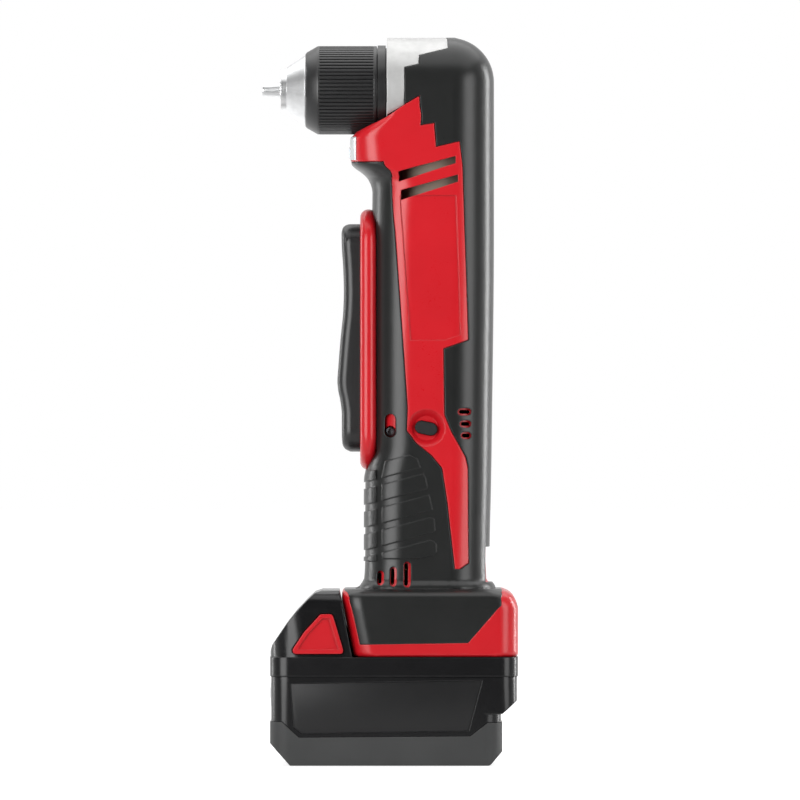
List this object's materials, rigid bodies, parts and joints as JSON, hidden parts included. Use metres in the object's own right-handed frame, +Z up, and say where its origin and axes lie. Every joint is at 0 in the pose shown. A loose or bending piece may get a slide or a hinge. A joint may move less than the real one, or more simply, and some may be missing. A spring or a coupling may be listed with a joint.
{
  "type": "right angle drill",
  "caption": "Cordless right angle drill with a keyless chuck, a long paddle switch on the handle and a slide-on battery pack that it stands on.",
  "frame": {"origin": "under the motor axis, on the plane that the battery pack's rubber foot stands on", "axes": "+Z up along the motor and handle, -X the way the chuck points, +Y to the tool's right side"},
  "size_m": [0.1212, 0.0768, 0.3445],
  "materials": {
    "red_plastic": "satin",
    "black_rubber": "matte",
    "black_plastic": "satin",
    "dark_plastic": "matte",
    "grey_rubber": "matte",
    "grey_plastic": "satin",
    "cast_case": "cast",
    "steel": "brushed",
    "magnet": "matte",
    "copper": "satin",
    "clear_lens": "clear",
    "board": "satin",
    "cells": "satin"
  },
  "bodies": {
    "housing": {"housing_left": "red_plastic", "housing_right": "red_plastic", "overmould_left": "black_rubber", "overmould_right": "black_rubber", "housing_screws": "steel", "paddle_bezel": "red_plastic", "paddle_pin": "steel", "switch_body": "dark_plastic", "led_lens": "clear_lens", "led_board": "board", "control_board": "board", "terminal_block": "dark_plastic", "terminal_blades": "copper", "gear_case": "cast_case", "spindle_bearing_front": "steel", "spindle_bearing_rear": "steel", "pinion_bearing": "steel", "ring_gear": "steel", "motor_can": "steel", "motor_magnets": "magnet", "motor_end_cap": "dark_plastic", "motor_brushes": "magnet", "motor_bearing_front": "steel", "motor_bearing_rear": "steel"},
    "rotor": {"rotor_shaft": "steel", "rotor_core": "steel", "rotor_windings": "copper", "commutator": "copper", "motor_fan": "dark_plastic", "sun_gear": "steel"},
    "carrier": {"planet_carrier": "steel", "bevel_pinion": "steel"},
    "planet_1": {"planet_1": "steel"},
    "planet_2": {"planet_2": "steel"},
    "planet_3": {"planet_3": "steel"},
    "spindle": {"spindle": "steel", "bevel_gear": "steel", "chuck_body": "steel", "chuck_rear_ring": "black_plastic", "chuck_screw": "steel"},
    "sleeve": {"chuck_sleeve": "black_plastic", "chuck_nut": "steel"},
    "jaw_1": {"jaw_1": "steel"},
    "jaw_2": {"jaw_2": "steel"},
    "jaw_3": {"jaw_3": "steel"},
    "paddle": {"paddle": "black_plastic"},
    "plunger": {"switch_plunger": "grey_plastic"},
    "shuttle": {"direction_shuttle": "black_plastic"},
    "battery": {"battery_top": "black_plastic", "battery_lower": "black_plastic", "battery_foot": "grey_rubber", "gauge_panel": "dark_plastic", "battery_cells": "cells", "cell_frames": "dark_plastic", "battery_board": "board", "battery_contacts": "copper", "battery_screws": "steel"},
    "release_left": {"release_left": "red_plastic"},
    "release_right": {"release_right": "red_plastic"},
    "gauge_button": {"gauge_button": "grey_plastic"}
  },
  "joints": [
    {"name": "rotor_spin", "type": "hinge", "parent": "housing", "child": "rotor", "pos_m": [0, 0, 0.23], "axis": [0, 0, 1], "continuous": true},
    {"name": "carrier_spin", "type": "hinge", "parent": "housing", "child": "carrier", "pos_m": [0, 0, 0.291], "axis": [0, 0, 1], "continuous": true},
    {"name": "planet_1_spin", "type": "hinge", "parent": "carrier", "child": "planet_1", "pos_m": [0.0105, 0, 0.2857], "axis": [0, 0, 1], "continuous": true},
    {"name": "planet_2_spin", "type": "hinge", "parent": "carrier", "child": "planet_2", "pos_m": [-0.00525, 0.00909, 0.2857], "axis": [0, 0, 1], "continuous": true},
    {"name": "planet_3_spin", "type": "hinge", "parent": "carrier", "child": "planet_3", "pos_m": [-0.00525, -0.00909, 0.2857], "axis": [0, 0, 1], "continuous": true},
    {"name": "spindle_spin", "type": "hinge", "parent": "housing", "child": "spindle", "pos_m": [-0.03, 0, 0.3195], "axis": [-1, 0, 0], "continuous": true},
    {"name": "sleeve_turn", "type": "hinge", "parent": "spindle", "child": "sleeve", "pos_m": [-0.045, 0, 0.3195], "axis": [-1, 0, 0], "range_deg": [0, 2970]},
    {"name": "jaw_1_slide", "type": "slide", "parent": "spindle", "child": "jaw_1", "axis": [0.9563, 0, 0.2924], "range_m": [0, 0.0165]},
    {"name": "jaw_2_slide", "type": "slide", "parent": "spindle", "child": "jaw_2", "axis": [0.9563, -0.2532, -0.1462], "range_m": [0, 0.0165]},
    {"name": "jaw_3_slide", "type": "slide", "parent": "spindle", "child": "jaw_3", "axis": [0.9563, 0.2532, -0.1462], "range_m": [0, 0.0165]},
    {"name": "paddle_press", "type": "hinge", "parent": "housing", "child": "paddle", "pos_m": [-0.0282, 0, 0.2455], "axis": [0, -1, 0], "range_deg": [0, 4], "stiffness_Nm_per_rad": 6, "springref_deg": -1.72},
    {"name": "plunger_slide", "type": "slide", "parent": "housing", "child": "plunger", "axis": [1, 0, 0], "range_m": [0, 0.0052]},
    {"name": "shuttle_slide", "type": "slide", "parent": "housing", "child": "shuttle", "axis": [0, 1, 0], "range_m": [-0.003, 0.003]},
    {"name": "battery_slide", "type": "slide", "parent": "housing", "child": "battery", "axis": [-1, 0, 0], "range_m": [0, 0.09]},
    {"name": "release_left_press", "type": "slide", "parent": "battery", "child": "release_left", "axis": [0, 1, 0], "range_m": [0, 0.002], "stiffness_N_per_m": 1500, "springref_m": -0.001},
    {"name": "release_right_press", "type": "slide", "parent": "battery", "child": "release_right", "axis": [0, -1, 0], "range_m": [0, 0.002], "stiffness_N_per_m": 1500, "springref_m": -0.001},
    {"name": "gauge_press", "type": "slide", "parent": "battery", "child": "gauge_button", "axis": [1, 0, 0], "range_m": [0, 0.0007], "stiffness_N_per_m": 1000, "springref_m": -0.0005}
  ],
  "couplings": [
    {"joint": "carrier_spin", "follows": "rotor_spin", "ratio": 0.2},
    {"joint": "planet_1_spin", "follows": "rotor_spin", "ratio": -0.53333},
    {"joint": "planet_2_spin", "follows": "rotor_spin", "ratio": -0.53333},
    {"joint": "planet_3_spin", "follows": "rotor_spin", "ratio": -0.53333},
    {"joint": "spindle_spin", "follows": "rotor_spin", "ratio": 0.074074},
    {"joint": "jaw_1_slide", "follows": "sleeve_turn", "m_per_rad": 0.00031815},
    {"joint": "jaw_2_slide", "follows": "sleeve_turn", "m_per_rad": 0.00031815},
    {"joint": "jaw_3_slide", "follows": "sleeve_turn", "m_per_rad": 0.00031815},
    {"joint": "plunger_slide", "follows": "paddle_press", "m_per_rad": 0.0712}
  ]
}
